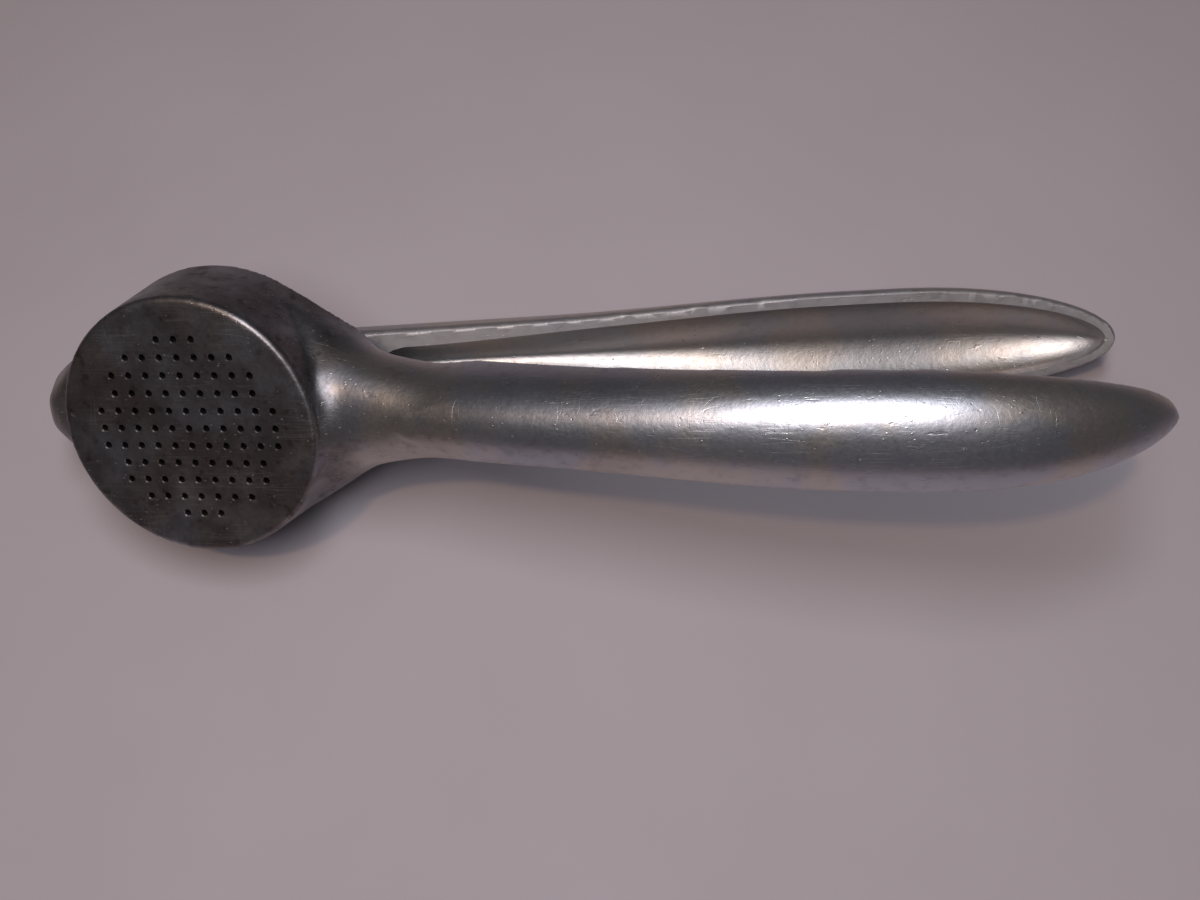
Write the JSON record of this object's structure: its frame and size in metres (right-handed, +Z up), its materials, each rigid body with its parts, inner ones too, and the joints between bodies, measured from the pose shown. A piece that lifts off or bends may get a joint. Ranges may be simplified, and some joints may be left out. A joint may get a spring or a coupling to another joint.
{
  "type": "garlic press",
  "caption": "Hand garlic press lying on its side: a round cup with a perforated face and a hollow handle, hinged to a hollow lever that swings a round plunger into the cup.",
  "frame": {"origin": "centre of the bounding box, on the table the press lies on", "axes": "+X from the cup along the handles to their tips, +Z up from the table; the press lies on its side with its perforated face turned up and to -Y"},
  "size_m": [0.1734, 0.0542, 0.0475],
  "materials": {
    "worn_casting": "worn satin, tarnished on the cup",
    "bright_casting": "satin, as cast in the trough",
    "pin_steel": "dull"
  },
  "bodies": {
    "hopper": {"hopper_handle": "worn_casting", "hinge_pin": "pin_steel"},
    "lever": {"lever_handle": "bright_casting", "plunger_pin": "pin_steel"},
    "plunger": {"plunger": "worn_casting"}
  },
  "joints": [
    {"name": "lever_swing", "type": "hinge", "parent": "hopper", "child": "lever", "pos_m": [-0.08064, -0.00323, 0.01295], "axis": [-0.0897, 0.7081, 0.7004], "range_deg": [-9.7, 95]},
    {"name": "plunger_turn", "type": "hinge", "parent": "lever", "child": "plunger", "pos_m": [-0.05645, -0.00443, 0.01725], "axis": [-0.0897, 0.7081, 0.7004], "range_deg": [-30.5, 3.2]}
  ],
  "couplings": [
    {"joint": "plunger_turn", "follows": "lever_swing", "ratio": -0.32}
  ]
}
